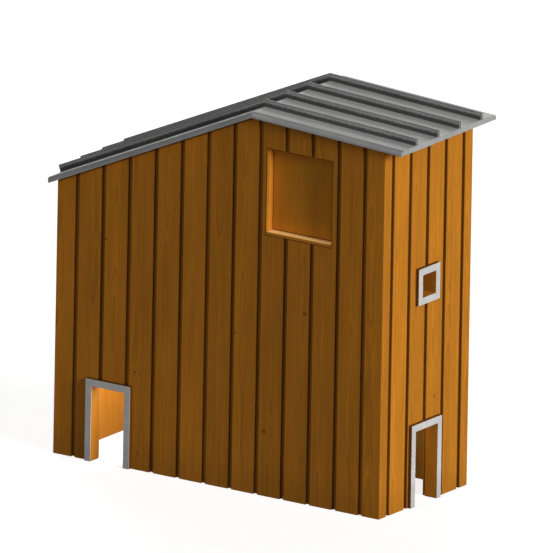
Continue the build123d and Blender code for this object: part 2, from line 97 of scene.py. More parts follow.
# ------------------------------------------------------------------ sizes and colours to change
def size(name, description, default):
    return FloatProperty(name=name, description=description, default=default, min=0.0,
                         unit="LENGTH", subtype="DISTANCE")


def colour(name, description, default):
    return FloatVectorProperty(name=name, description=description, default=default, size=3,
                               min=0.0, max=1.0, subtype="COLOR")


def share(name, description, default):
    return FloatProperty(name=name, description=description, default=default, min=0.0, max=1.0,
                         subtype="FACTOR")


def angle(name, description, degrees):
    return FloatProperty(name=name, description=description, default=math.radians(degrees),
                         subtype="ANGLE", unit="ROTATION")


def brightness(name, description, default):
    return FloatProperty(name=name, description=description, default=default, min=0.0)


def watts(name, description, default):
    return FloatProperty(name=name, description=description, default=default, min=0.0,
                         unit="POWER")


class COOP_PG_wood(bpy.types.PropertyGroup):
    """Oiled amber-brown timber."""

    light: colour("Early wood", "Colour between the growth rings", (0.600, 0.220, 0.012))
    dark: colour("Late wood", "Colour of the growth rings", (0.400, 0.132, 0.008))
    knot: colour("Knots", "Colour of the knots", (0.170, 0.052, 0.006))
    inner: colour("Inside wood", "Colour of the frame and lining", (0.640, 0.250, 0.022))
    back: colour("Back lining", "Colour of the lining on the back wall", (0.560, 0.285, 0.030))
    # painted highlight: the sill's top is coloured much paler than the wood is, for the light it
    # catches
    sill_top_highlight: colour("Sill wood", "Colour of the hatch's planed sill", (0.900, 0.560, 0.190))
    # painted light: the hatch panel is coloured lighter than the boards, against the shade of its
    # recess
    panel: colour("Hatch wood", "Colour of the hatch's sheltered panel", (0.640, 0.245, 0.013))
    ring: size("Ring spacing", "Distance between growth rings on a board's face", 0.0075)
    ply: size("Veneer", "Thickness of one veneer of the plywood", 0.0018)
    # painted shade: the front pop hole's timbers are coloured darker than the other frames
    jamb: colour("Jamb wood", "Colour of the front pop hole's timbers", (0.450, 0.165, 0.009))
    pitch: size("Board pitch", "Distance from one board to the next", 0.200)
    long_start: size("First board, long walls",
                     "Width of the first board on the front and back", 0.150)
    end_start: size("First board, end walls", "Width of the first board on the end walls", 0.100)
    groove: size("Groove width", "Width of the shadow groove between boards", 0.030)
    # painted shade: the next two set how much darker the grooves between boards are
    dirt: share("Groove dirt", "How much darker a groove is along its sides", 0.58)
    groove_floor_shade: share("Groove floor dirt", "How much darker a groove is along its middle", 0.25)
    arris: size("Eased edge", "Radius worked on the timbers' edges", 0.0015)
    damp: share("Damp foot", "How much darker the foot of a wall is", 0.16)
    # painted shade: the next two set the dark line round the holes and along the top of the walls
    line: size("Dirt line", "Width of the dirt that has settled round the holes", 0.007)
    rim: share("Dirt round holes", "How much darker that dirt is", 0.70)


class COOP_PG_metal(bpy.types.PropertyGroup):
    """Roof sheets, painted plates and small ironwork."""

    roof: colour("Roof", "Coated steel of the roof", (0.410, 0.410, 0.405))
    plug: colour("Rib ends", "Plugs in the ends of the roof's ribs", (0.190, 0.190, 0.186))
    plate: colour("Plates", "Paint on the plates round the holes", (0.640, 0.625, 0.600))
    chip: colour("Chips", "What shows where the paint has chipped", (0.23, 0.19, 0.15))
    zinc: colour("Zinc", "Hinges, screws and bolts", (0.520, 0.525, 0.535))
    stain: share("Roof stains", "Strength of the streaks down the roof", 0.16)
    # painted shade: the next three darken the ribs' flanks and feet, their crests and the rolled
    # sides
    rib_foot_shade: share("Rib dirt", "How much darker the roof is along the feet of its ribs", 0.80)
    crest: share("Rib crests", "How much darker the crests of the ribs are", 0.60)
    edge: share("Edge dirt", "How much darker the roll along a sheet's side is", 0.36)
    roll: size("Rolled edge", "Width of the roll along a sheet's side", 0.032)
    rib_pitch: size("Rib pitch", "Distance from one roof rib to the next", 0.246)
    rib_foot: size("Rib foot", "Half the width of a rib at its foot", 0.013)


class COOP_PG_screws(bpy.types.PropertyGroup):
    """Pan-head screws."""

    small: size("Hinge screw", "Radius of a hinge screw's head", 0.0034)
    large: size("Wood screw", "Radius of a timber screw's head", 0.0048)
    high: FloatProperty(name="Head height", description="Height of a head over its radius",
                        default=0.45, min=0.1, max=1.0)
    spacing: size("Spacing", "Largest distance between the screws of one batten", 0.240)
    inset: size("Inset", "From a batten's end to its first screw", 0.025)


class COOP_PG_stage(bpy.types.PropertyGroup):
    """Camera, lights and floor."""

    azimuth: angle("Azimuth", "Camera's turn to the right of the front", 33.75)
    elevation: angle("Elevation", "Camera's height above level", 16.26)
    roll: angle("Roll", "Camera's lean to the side", 1.03)
    width: size("View width", "Width that the camera takes in", 3.518)
    aim: FloatVectorProperty(name="Aim", description="Point at the middle of the view",
                             default=(0.0643, 0.0, 1.2924), size=3, unit="LENGTH",
                             subtype="TRANSLATION")
    distance: size("Distance", "From the camera to its aim", 12.0)
    floor: colour("Floor", "Floor colour", (0.40, 0.40, 0.40))
    floor_glow: brightness("Floor glow", "Light given off by the floor", 0.80)
    key: brightness("Key light", "Strength of the light from the right", 2.87)
    front: brightness("Front light", "Strength of the light from the front", 0.31)
    back: brightness("Back light", "Strength of the light from the back left", 1.53)
    around: brightness("Light all round", "Strength of the light from all round", 0.10)
    left_lamp: watts("Lamp on the left wall", "Power of the lamp inside on the left wall", 8.8)
    back_lamp: watts("Lamp on the back wall", "Power of the lamp inside on the back wall", 1.7)
    reveal_lamp: watts("Lamp on the hatch's side",
                       "Power of the lamp that shines on the side of the hatch's hole", 0.018)
    sill_lamp: watts("Lamp on the sill", "Power of the lamp that shines on the hatch's sill", 0.030)


# ------------------------------------------------------------------ shader building
class Shader:
    """Adds and joins the nodes of one material."""

    def __init__(self, name):
        self.material = bpy.data.materials.new(name)
        self.material.use_nodes = True
        self.tree = self.material.node_tree
        self.tree.nodes.clear()
        self.surface = self.add("ShaderNodeBsdfPrincipled")
        output = self.add("ShaderNodeOutputMaterial")
        self.tree.links.new(self.surface.outputs["BSDF"], output.inputs["Surface"])

    def add(self, kind, **options):
        node = self.tree.nodes.new(kind)
        for key, value in options.items():
            setattr(node, key, value)
        return node

    def feed(self, socket, value):
        """Join an output to a socket, or set the socket itself."""
        if isinstance(value, bpy.types.NodeSocket):
            self.tree.links.new(value, socket)
        else:
            socket.default_value = value

    def math(self, operation, *values):
        node = self.add("ShaderNodeMath", operation=operation)
        for socket, value in zip(node.inputs, values):
            self.feed(socket, value)
        return node.outputs[0]

    def times(self, first, *others):
        """Product of all the values."""
        for other in others:
            first = self.math("MULTIPLY", first, other)
        return first

    def vector(self, operation, *values):
        node = self.add("ShaderNodeVectorMath", operation=operation)
        for socket, value in zip(node.inputs, values):
            self.feed(socket, value)
        return node.outputs["Value" if operation == "LENGTH" else "Vector"]

    def place(self):
        """Object coordinates, as x, y and z outputs."""
        coordinates = self.add("ShaderNodeTexCoord")
        parts = self.add("ShaderNodeSeparateXYZ")
        self.feed(parts.inputs[0], coordinates.outputs["Object"])
        return parts.outputs

    def combine(self, x, y, z):
        node = self.add("ShaderNodeCombineXYZ")
        for socket, value in zip(node.inputs, (x, y, z)):
            self.feed(socket, value)
        return node.outputs[0]

    def noise(self, place, scale, detail=2.0, roughness=0.5):
        node = self.add("ShaderNodeTexNoise")
        self.feed(node.inputs["Vector"], place)
        self.feed(node.inputs["Scale"], scale)
        self.feed(node.inputs["Detail"], detail)
        self.feed(node.inputs["Roughness"], roughness)
        return node.outputs

    def random(self, number):
        """Three random shares for one number."""
        node = self.add("ShaderNodeTexWhiteNoise", noise_dimensions="1D")
        self.feed(node.inputs["W"], number)
        parts = self.add("ShaderNodeSeparateColor")
        self.feed(parts.inputs[0], node.outputs["Color"])
        return parts.outputs

    def spread(self, value, from_low, from_high, to_low=0.0, to_high=1.0, smooth=True):
        node = self.add("ShaderNodeMapRange",
                        interpolation_type="SMOOTHSTEP" if smooth else "LINEAR")
        for key, number in (("Value", value), ("From Min", from_low), ("From Max", from_high),
                            ("To Min", to_low), ("To Max", to_high)):
            self.feed(node.inputs[key], number)
        return node.outputs["Result"]

    def tint(self, pattern, darker, lighter, lowest=0.3, highest=0.7):
        """Level of light around 1 that a pattern gives, from its lowest to its highest part."""
        return self.spread(pattern, lowest, highest, 1.0 - darker, 1.0 + lighter)

    def ramp(self, value, stops):
        node = self.add("ShaderNodeValToRGB")
        self.feed(node.inputs[0], value)
        elements = node.color_ramp.elements
        while len(elements) < len(stops):
            elements.new(1.0)
        for element, (position, tone) in zip(elements, stops):
            element.position = position
            element.color = (tone, tone, tone, 1.0)
        return node.outputs["Color"]

    def mix(self, factor, a, b, blend="MIX"):
        node = self.add("ShaderNodeMix", data_type="RGBA", blend_type=blend)
        self.feed(node.inputs["Factor"], factor)
        a_colour, b_colour, mixed = 6, 7, 2      # the colour sockets of a node with many kinds
        self.feed(node.inputs[a_colour], a)
        self.feed(node.inputs[b_colour], b)
        return node.outputs[mixed]

    def dim(self, tone, amount):
        """A colour times a grey share."""
        grey = self.combine(amount, amount, amount)
        return self.mix(1.0, tone, grey, "MULTIPLY")

    def bump(self, height, strength, distance):
        node = self.add("ShaderNodeBump")
        self.feed(node.inputs["Strength"], strength)
        self.feed(node.inputs["Distance"], distance)
        self.feed(node.inputs["Height"], height)
        self.feed(self.surface.inputs["Normal"], node.outputs["Normal"])

    def finish(self, tone, roughness, metallic=0.0, shine=0.5):
        self.surface.inputs["Specular IOR Level"].default_value = shine
        self.feed(self.surface.inputs["Base Color"], tone)
        self.feed(self.surface.inputs["Roughness"], roughness)
        self.feed(self.surface.inputs["Metallic"], metallic)
        return self.material


def rgba(tone):
    return (tone[0], tone[1], tone[2], 1.0)


# ------------------------------------------------------------------ materials
KNOT_CELLS = 2.3                # cells to a metre, each with room for one knot
CLEAR_CELLS = 0.74              # share of the cells that have no knot
KNOT_SIZES = (0.006, 0.015)     # radii of the smallest and the largest knot
SHELF = 7.31                    # shift in the patterns from one board to the next
RING_STOPS = ((0.0, 0.05), (0.45, 0.20), (0.80, 0.75), (0.93, 1.0), (1.0, 0.05))


def timber(name, wood, across, thick, along, first=0.0, seed=0.0, face=None, inward=1.0,
           contrast=1.0, light=None, late=None, plain=False, holes=()):
    """Boards sawn side by side: growth rings, fibres and knots that run through the solid.

    across, thick and along are axes; first is where a board starts along across. With a face,
    the grooves between the boards get painted shade, the foot of the wall is darker, and the
    top of the wall gets a line of painted shade under the roof. A thin line of painted shade runs
    round the holes, each given as its lowest and highest corner. Plain wood has no knots.
    """
    s = Shader(name)
    place = s.place()
    offset = s.math("SUBTRACT", place[across], first)
    board = s.math("FLOOR", s.math("DIVIDE", offset, wood.pitch))
    middle = s.math("MULTIPLY", s.math("ADD", board, 0.5), wood.pitch)
    from_middle = s.math("SUBTRACT", offset, middle)
    number = s.math("ADD", board, seed)
    chance = s.random(number)
    sideways = s.math("ADD", from_middle, s.math("MULTIPLY", number, SHELF))

    knot, swell = knots(s, s.combine(sideways, place[along], 0.0), plain)
    slow = s.combine(sideways, place[thick], s.math("MULTIPLY", place[along], 0.22))
    depth = place[thick]
    if face is not None:
        depth = s.math("MULTIPLY", s.math("SUBTRACT", depth, face), inward)
    growth = growth_rings(s, wood, chance, slow, from_middle, depth, swell)

    fibre_place = s.combine(place[across], place[thick], s.math("MULTIPLY", place[along], 0.035))
    fibre = s.noise(fibre_place, 420.0, 3.0, 0.6)["Fac"]
    streak = s.noise(fibre_place, 38.0, 2.0, 0.55)["Fac"]
    patch = s.noise(slow, 7.0, 3.0, 0.55)["Fac"]

    tone = s.mix(s.math("MULTIPLY", growth, 0.62 * contrast), rgba(light or wood.light),
                 rgba(late or wood.dark))
    tone = s.mix(s.math("MULTIPLY", knot, 0.72), tone, rgba(wood.knot))
    from_board = s.spread(chance[2], 0.0, 1.0, 1.0 - 0.10 * contrast, 1.0 + 0.07 * contrast,
                          smooth=False)
    level = s.times(from_board, s.tint(fibre, 0.13 * contrast, 0.10 * contrast, 0.25, 0.75),
                    s.tint(streak, 0.09 * contrast, 0.06 * contrast), s.tint(patch, 0.07, 0.06))
    if face is not None:
        # painted shade in the grooves and under the roof, and a darker damp foot
        level = s.times(level, groove_shade(s, wood, from_middle), damp_foot_and_eave_shade(s, wood, place, streak))
    # a thin line of painted shade round each hole
    for lowest, highest in holes:
        level = s.times(level, hole_edge_shade(s, wood, place, across, thick, along, lowest, highest))
    tone = s.dim(tone, level)

    relief = s.math("ADD", s.math("MULTIPLY", fibre, 0.55), s.math("MULTIPLY", growth, 0.45))
    s.bump(relief, 0.35, 0.9 * MM)
    gloss = s.spread(relief, 0.0, 1.0, 0.50, 0.70, smooth=False)
    return s.finish(tone, gloss, shine=0.25)


def knots(s, spot, plain):
    """Share of knot at each spot, and how far the growth rings swell round it."""
    cell = s.add("ShaderNodeTexVoronoi", voronoi_dimensions="2D")
    s.feed(cell.inputs["Scale"], KNOT_CELLS)
    s.feed(cell.inputs["Vector"], spot)
    to_knot = s.math("DIVIDE", cell.outputs["Distance"], KNOT_CELLS)
    chance = s.add("ShaderNodeSeparateColor")
    s.feed(chance.inputs[0], cell.outputs["Color"])
    none_at_all = 1.1
    has_knot = s.math("GREATER_THAN", chance.outputs[0], none_at_all if plain else CLEAR_CELLS)
    radius = s.spread(chance.outputs[1], 0.0, 1.0, *KNOT_SIZES)
    knot = s.spread(s.math("DIVIDE", to_knot, radius), 0.75, 1.15, 1.0, 0.0)
    swell = s.spread(to_knot, 0.0, 0.075, 0.022, 0.0)
    return s.math("MULTIPLY", knot, has_knot), s.math("MULTIPLY", swell, has_knot)


def growth_rings(s, wood, chance, slow, from_middle, depth, swell):
    """Rings round a pith that lies behind the board and wanders up it."""
    wander = s.noise(slow, 5.0, 2.0)["Color"]
    sway = s.vector("MULTIPLY", s.vector("SUBTRACT", wander, (0.5, 0.5, 0.5)), (0.075, 0.045, 0.0))
    pith_across = s.spread(chance[0], 0.0, 1.0, -0.05, 0.05, smooth=False)
    pith_behind = s.spread(chance[1], 0.0, 1.0, 0.035, 0.12, smooth=False)
    from_pith = s.combine(s.math("ADD", from_middle, pith_across),
                          s.math("SUBTRACT", pith_behind, depth), 0.0)
    radius = s.math("ADD", s.vector("LENGTH", s.vector("ADD", from_pith, sway)), swell)
    return s.ramp(s.math("FRACT", s.math("DIVIDE", radius, wood.ring)), RING_STOPS)


def groove_shade(s, wood, from_middle):
    """Share of light left by the painted shade in the grooves between boards, darkest along their
    sides.
    """
    half = wood.groove / 2
    from_seam = s.math("SUBTRACT", wood.pitch / 2, s.math("ABSOLUTE", from_middle))
    seam = s.spread(from_seam, 0.5 * half, 0.85 * half, 1.0 - wood.groove_floor_shade, 1.0 - wood.dirt)
    clean = s.spread(from_seam, 1.1 * half, 1.35 * half)
    return s.math("ADD", seam, s.math("MULTIPLY", s.math("SUBTRACT", 1.0, seam), clean))


def damp_foot_and_eave_shade(s, wood, place, streak):
    """Share of light left at a wall's damp foot, and by a line of painted shade along its top under
    the roof.
    """
    ragged = s.math("ADD", place[Z], s.math("MULTIPLY", streak, 0.16))
    foot = s.spread(ragged, 0.10, 0.34, 1.0 - wood.damp, 1.0)
    slopes = [s.math("ADD", start, s.math("MULTIPLY", place[X], rise))
              for start, rise in roof_undersides()]
    under_roof = s.math("SUBTRACT", s.math("MINIMUM", *slopes), place[Z])
    # painted shade along the top of the wall, under the roof's edge
    top = s.spread(under_roof, wood.line, 2.5 * wood.line, 1.0 - wood.rim, 1.0)
    return s.math("MULTIPLY", foot, top)


def roof_undersides():
    """Both slopes' undersides, each as its height at x = 0 and its rise for each metre of x."""
    slopes = []
    for one, other, end in (("front_board_01", "front_board_02", high),
                            ("front_board_12", "front_board_13", low)):
        rise = (high(other, Z) - high(one, Z)) / (end(other, X) - end(one, X))
        slopes.append((high(one, Z) - rise * end(one, X), rise))
    return slopes


def hole_edge_shade(s, wood, place, across, thick, along, lowest, highest):
    """Share of light left by the thin line of painted shade round a rectangle, 1 away from it.

    The line lies between the rectangle's two depths only.
    """
    reach = []
    for axis in (across, along):
        middle = (lowest[axis] + highest[axis]) / 2
        half = (highest[axis] - lowest[axis]) / 2
        out = s.math("ABSOLUTE", s.math("SUBTRACT", place[axis], middle))
        reach.append(s.math("SUBTRACT", out, half))
    away = s.math("ABSOLUTE", s.math("MAXIMUM", *reach))
    line = s.spread(away, 0.4 * wood.line, wood.line, wood.rim, 0.0)
    behind = s.math("GREATER_THAN", place[thick], lowest[thick] - MM)
    before = s.math("LESS_THAN", place[thick], highest[thick] + MM)
    line = s.math("MULTIPLY", line, s.math("MULTIPLY", behind, before))
    return s.math("SUBTRACT", 1.0, line)


FIGURE_STOPS = ((0.0, 0.0), (0.5, 0.35), (0.85, 0.8), (0.95, 1.0), (1.0, 0.0))


def plywood(name, wood, across, thick, along, seed=0.0, light=None):
    """Rotary-cut veneer on the faces, and stacked veneers along the edges."""
    s = Shader(name)
    place = s.place()
    slow = s.combine(place[across], place[thick], s.math("MULTIPLY", place[along], 0.16))
    wander = s.noise(slow, 3.2, 3.0)["Fac"]
    figure = s.math("ADD", s.math("MULTIPLY", place[across], 5.0), s.math("MULTIPLY", wander, 6.0))
    wave = s.math("FRACT", s.math("ADD", figure, seed))
    late = s.ramp(wave, FIGURE_STOPS)
    fibre_place = s.combine(place[across], place[thick], s.math("MULTIPLY", place[along], 0.04))
    fibre = s.noise(fibre_place, 300.0, 3.0, 0.6)["Fac"]
    patch = s.noise(slow, 4.0, 2.0)["Fac"]
    layer = s.math("FRACT", s.math("DIVIDE", place[thick], 2.0 * wood.ply))
    stripe = s.math("GREATER_THAN", layer, 0.5)
    tone = s.mix(s.math("MULTIPLY", late, 0.32), rgba(light or wood.inner), rgba(wood.dark))
    from_layer = s.spread(stripe, 0.0, 1.0, 0.96, 1.03, smooth=False)
    tone = s.dim(tone, s.times(s.tint(fibre, 0.10, 0.08, 0.25, 0.75), s.tint(patch, 0.07, 0.05),
                               from_layer))
    s.bump(s.math("ADD", fibre, s.math("MULTIPLY", late, 0.3)), 0.22, 0.6 * MM)
    return s.finish(tone, s.spread(fibre, 0.0, 1.0, 0.55, 0.72, smooth=False), shine=0.25)


def roof_steel(name, metal, coat, ribbed=False):
    """Matt coated steel with fine mottle, water streaks down the slope and dulled patches.

    A ribbed sheet has painted shade along its ribs and its rolled sides.
    """
    s = Shader(name)
    place = s.place()
    along = s.combine(s.math("MULTIPLY", place[X], 0.8), s.math("MULTIPLY", place[Y], 26.0),
                      s.math("MULTIPLY", place[Z], 0.8))
    streak = s.noise(along, 2.2, 4.0, 0.6)["Fac"]
    whole = s.combine(place[X], place[Y], place[Z])
    patch = s.noise(whole, 2.6, 4.0, 0.6)["Fac"]
    mottle = s.noise(whole, 160.0, 2.0, 0.6)["Fac"]
    grain = s.add("ShaderNodeTexVoronoi")
    s.feed(grain.inputs["Vector"], whole)
    s.feed(grain.inputs["Scale"], 90.0)
    flake = s.add("ShaderNodeSeparateColor")
    s.feed(flake.inputs[0], grain.outputs["Color"])
    clean = 1.05
    stained = s.spread(streak, 0.35, 0.70, clean, clean - metal.stain)
    level = s.times(stained, s.tint(patch, 0.08, 0.07), s.tint(mottle, 0.04, 0.04),
                    s.tint(flake.outputs[0], 0.025, 0.025, 0.0, 1.0))
    if ribbed:
        # painted shade along the ribs and the rolled sides
        level = s.times(level, rib_shade(s, metal, place, mottle))
    tone = s.dim(rgba(coat), level)
    buckle = s.noise(whole, 6.0, 2.0)["Fac"]
    s.bump(s.math("ADD", s.math("MULTIPLY", buckle, 0.8), s.math("MULTIPLY", mottle, 0.04)),
           0.20, 4 * MM)
    return s.finish(tone, s.spread(patch, 0.3, 0.7, 0.48, 0.64), shine=0.35)


def rib_shade(s, metal, place, mottle):
    """Share of light left by painted shade on the ribs' crests, flanks and feet, and over the
    rolled sides.
    """
    foot, roll = metal.rib_foot, metal.roll
    across = s.math("FRACT", s.math("DIVIDE", place[Y], metal.rib_pitch))
    from_rib = s.math("MULTIPLY", s.math("ABSOLUTE", s.math("SUBTRACT", across, 0.5)),
                      metal.rib_pitch)
    ragged = s.math("ADD", from_rib, s.spread(mottle, 0.3, 0.7, -0.6 * MM, 0.6 * MM))
    crest = s.spread(ragged, 0.60 * foot, 0.70 * foot, metal.crest, 0.0)
    flank = s.spread(ragged, 0.74 * foot, 0.83 * foot, 0.0, metal.rib_foot_shade)
    flank = s.times(flank, s.spread(ragged, 1.15 * foot, 1.5 * foot, 1.0, 0.0))
    from_side = s.math("SUBTRACT", high("roof_sheet_left", Y), s.math("ABSOLUTE", place[Y]))
    rolled = s.spread(from_side, 0.25 * roll, 0.55 * roll, 0.0, metal.edge)
    rolled = s.times(rolled, s.spread(from_side, roll, 1.3 * roll, 1.0, 0.0))
    return s.math("SUBTRACT", 1.0, s.math("ADD", s.math("ADD", crest, rolled), flank))


def painted_plate(name, metal, seed):
    """Brushed-on grey paint, with thin places, a dirty foot and small chips."""
    s = Shader(name)
    place = s.place()
    whole = s.combine(s.math("ADD", place[X], seed), place[Y], place[Z])
    strokes = s.combine(place[X], place[Y], s.math("MULTIPLY", place[Z], 0.06))
    stroke = s.noise(strokes, 260.0)["Fac"]
    patch = s.noise(whole, 9.0, 4.0, 0.6)["Fac"]
    speck = s.noise(whole, 130.0, 3.0, 0.6)["Fac"]
    chip = s.spread(speck, 0.71, 0.75)
    foot = s.spread(place[Z], 0.0, 0.22, 0.86, 1.0)
    level = s.times(s.tint(patch, 0.07, 0.05), s.tint(stroke, 0.03, 0.03), foot)
    tone = s.mix(s.math("MULTIPLY", chip, 0.7), s.dim(rgba(metal.plate), level), rgba(metal.chip))
    relief = s.math("SUBTRACT", s.math("MULTIPLY", stroke, 0.6), s.math("MULTIPLY", chip, 0.7))
    s.bump(relief, 0.25, 0.6 * MM)
    return s.finish(tone, s.spread(patch, 0.3, 0.7, 0.42, 0.58), shine=0.4)


def zinc(name, tone, dullness):
    """Plated steel with cloudy roughness and fine scratches."""
    s = Shader(name)
    place = s.place()
    whole = s.combine(place[X], place[Y], place[Z])
    cloud = s.noise(whole, 180.0, 3.0, 0.6)["Fac"]
    drawn_out = s.combine(s.math("MULTIPLY", place[X], 0.1), place[Y], place[Z])
    scratch = s.noise(drawn_out, 1500.0)["Fac"]
    shade = s.dim(rgba(tone), s.tint(cloud, 0.18, 0.08))
    s.bump(s.math("ADD", cloud, scratch), 0.15, 0.2 * MM)
    return s.finish(shade, s.spread(cloud, 0.3, 0.7, dullness - 0.08, dullness + 0.10), 0.9)


# ------------------------------------------------------------------ mesh helpers
HARD = math.radians(50.0)        # a sharper edge than this is eased
FACET = math.radians(20.0)       # a sharper edge than this stays an edge
FLAT = math.radians(0.5)         # faces closer in slope than this are one face
WELD = 0.01 * MM                 # corners nearer than this are one corner
SEGMENTS = 2                     # across an eased edge
BOARD_EASE = 0.8 * MM            # on the edges of plywood, rails and plates


def settings():
    return bpy.context.scene.coop


def dress(node, material):
    """Give a CAD node its material."""
    thing = frame["nodes"][node]
    thing.data.materials.clear()
    thing.data.materials.append(material)


def shells(bm):
    """Corners of each closed solid of a CAD node, whose triangles come one solid after another."""
    every, corners, waiting, loose = [], [], {}, 0
    for face in bm.faces:
        corners += face.verts
        ends = [tuple(vert.co) for vert in face.verts]
        for side in zip(ends, ends[1:] + ends[:1]):
            mate = side[::-1]
            if waiting.get(mate):
                waiting[mate] -= 1
                loose -= 1
            else:
                waiting[side] = waiting.get(side, 0) + 1
                loose += 1
        if not loose:
            every.append(list(dict.fromkeys(corners)))
            corners = []
    if corners:
        raise RuntimeError("a solid's triangles don't close")
    return every


def merged(node):
    """A bmesh of a CAD node with the loose triangles of each solid joined into whole faces."""
    bm = bmesh.new()
    bm.from_mesh(frame["nodes"][node].data)
    for corners in shells(bm):
        bmesh.ops.remove_doubles(bm, verts=corners, dist=WELD)
    bmesh.ops.dissolve_limit(bm, angle_limit=FLAT, verts=bm.verts, edges=bm.edges)
    return bm


def new_piece(name, bm, body, material):
    """Make an object of a bmesh, in the frame's own place, that rides on a body."""
    for face in bm.faces:
        face.smooth = True
    for edge in bm.edges:
        edge.smooth = edge.calc_face_angle(math.pi) < FACET
    mesh = bpy.data.meshes.new(name)
    bm.to_mesh(mesh)
    bm.free()
    mesh.materials.append(material)
    thing = bpy.data.objects.new(name, mesh)
    bpy.context.scene.collection.objects.link(thing)
    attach(thing, body)
    return thing


def work(node, material, ease=0.0):
    """Stand a worked piece in a CAD node's place: the same shape with its hard edges eased."""
    bm = merged(node)
    if ease:
        edges = [edge for edge in bm.edges if edge.calc_face_angle(0.0) > HARD]
        bmesh.ops.bevel(bm, geom=edges, offset=ease, offset_type="OFFSET", segments=SEGMENTS,
                        profile=0.5, affect="EDGES", material=-1, clamp_overlap=True)
    body = frame["nodes"][node]["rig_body"]
    piece = new_piece(node + "_worked", bm, body, material)
    shading = piece.modifiers.new("even_shading", "WEIGHTED_NORMAL")
    shading.keep_sharp = True
    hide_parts(node)
    return piece


def solids(node):
    """Lowest and highest corner of each separate solid of a CAD node."""
    bm = merged(node)
    waiting = set(bm.verts)
    boxes = []
    while waiting:
        reached = [waiting.pop()]
        corners = []
        while reached:
            vert = reached.pop()
            corners.append(vert.co.copy())
            for edge in vert.link_edges:
                other = edge.other_vert(vert)
                if other in waiting:
                    waiting.remove(other)
                    reached.append(other)
        boxes.append([Vector([pick(c[i] for c in corners) for i in range(3)])
                      for pick in (min, max)])
    bm.free()
    return sorted(boxes, key=lambda box: tuple(box[0]))


def screw(bm, seat, way, radius):
    """Pan-head screw with a recess in its top, its head standing on seat and pointing way."""
    sides, taper = 12, 0.72                  # facets, and the width of the top over the foot's
    rim, wall, recess = 0.34, 0.06, 0.6      # shares of the radius, and of the head's height
    way = Vector(way)
    head = radius * settings().screws.high
    turned = way.to_track_quat("Z", "Y").to_matrix().to_4x4()
    place = Matrix.Translation(Vector(seat) + way * head / 2) @ turned
    made = bmesh.ops.create_cone(bm, cap_ends=True, segments=sides, radius1=radius,
                                 radius2=radius * taper, depth=head, matrix=place)
    faces = {face for vert in made["verts"] for face in vert.link_faces}
    top = max(faces, key=lambda face: face.calc_center_median().dot(way))
    bmesh.ops.inset_individual(bm, faces=[top], thickness=radius * rim, depth=0.0)
    bmesh.ops.inset_individual(bm, faces=[top], thickness=radius * wall, depth=-head * recess)


def spaced(start, end, inset, spacing):
    """Even places from start to end, inset at both ends and no further apart than spacing."""
    start, end = start + inset, end - inset
    gaps = max(1, math.ceil((end - start) / spacing))
    return [start + (end - start) * i / gaps for i in range(gaps + 1)]


def hatch_hole(bottom, depth=FRONT):
    """Lowest and highest corner of the hatch's hole at one depth, from a given height up."""
    lap = low("hatch_sill", X) - low("hatch_panel", X)
    lowest = Vector((low("hatch_sill", X), depth, bottom))
    highest = Vector((high("hatch_sill", X), depth, high("hatch_panel", Z) - lap))
    return lowest, highest


# ------------------------------------------------------------------ operators
class COOP_OT_boards(bpy.types.Operator):
    """Oiled boards on the four walls, each with its own grain"""

    bl_idname = "coop.boards"
    bl_label = "Boards"

    def execute(self, context):
        wood = settings().wood
        long_first = LEFT + wood.long_start - wood.pitch
        end_first = FRONT + wood.end_start - wood.pitch
        front = timber("front_cladding", wood, X, Y, Z, long_first, 3.0, FRONT, 1.0,
                       holes=[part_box("front_pop_frame"), hatch_hole(low("hatch_sill", Z))])
        back = timber("back_cladding", wood, X, Y, Z, long_first, 41.0, BACK, -1.0)
        right = timber("right_cladding", wood, Y, X, Z, end_first, 73.0, RIGHT, -1.0,
                       holes=[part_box("right_pop_frame"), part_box("vent_frame")])
        left = timber("left_cladding", wood, Y, X, Z, end_first, 97.0, LEFT, 1.0)
        for node in frame["nodes"]:
            if node.startswith("front_board_"):
                dress(node, front)
            elif node.startswith("right_board_"):
                dress(node, right)
        dress("back_boards", back)
        dress("left_boards", left)
        return {"FINISHED"}


class COOP_OT_openings(bpy.types.Operator):
    """Timbers and painted plates round the pop holes and the vent, and the hatch's sill"""

    bl_idname = "coop.openings"
    bl_label = "Openings"

    def execute(self, context):
        wood = settings().wood
        metal = settings().metal
        # painted shade: this frame's timbers take the darker jamb colour
        along_front = timber("front_frame_wood", wood, X, Y, Z, seed=11.0, contrast=0.7,
                             light=wood.jamb, holes=[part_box("front_pop_frame")])
        along_right = timber("right_frame_wood", wood, Y, X, Z, seed=17.0, contrast=0.7,
                             holes=[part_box("right_pop_frame"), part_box("vent_frame")])
        # painted highlight: the sill takes a much paler wood than the boards
        sill = timber("sill_top_highlight_wood", wood, Y, Z, X, seed=29.0, contrast=0.4, light=wood.sill_top_highlight,
                      late=wood.inner, plain=True)
        work("front_pop_frame", along_front, wood.arris)
        work("right_pop_frame", along_right, wood.arris)
        work("vent_frame", along_right, wood.arris)
        edge = timber("sill_edge_wood", wood, Y, Z, X, seed=31.0, contrast=0.8, plain=True)
        board = work("hatch_sill", sill, wood.arris)
        board.data.materials.append(edge)
        # faces that face the front keep the boards' darker wood; the rest carry the painted
        # highlight
        for face in board.data.polygons:
            faces_front = face.normal.y < -0.5
            face.material_index = 1 if faces_front else 0
        for seed, node in enumerate(("front_pop_face", "right_pop_face", "vent_face")):
            work(node, painted_plate(node + "_paint", metal, float(seed)), BOARD_EASE)
        return {"FINISHED"}


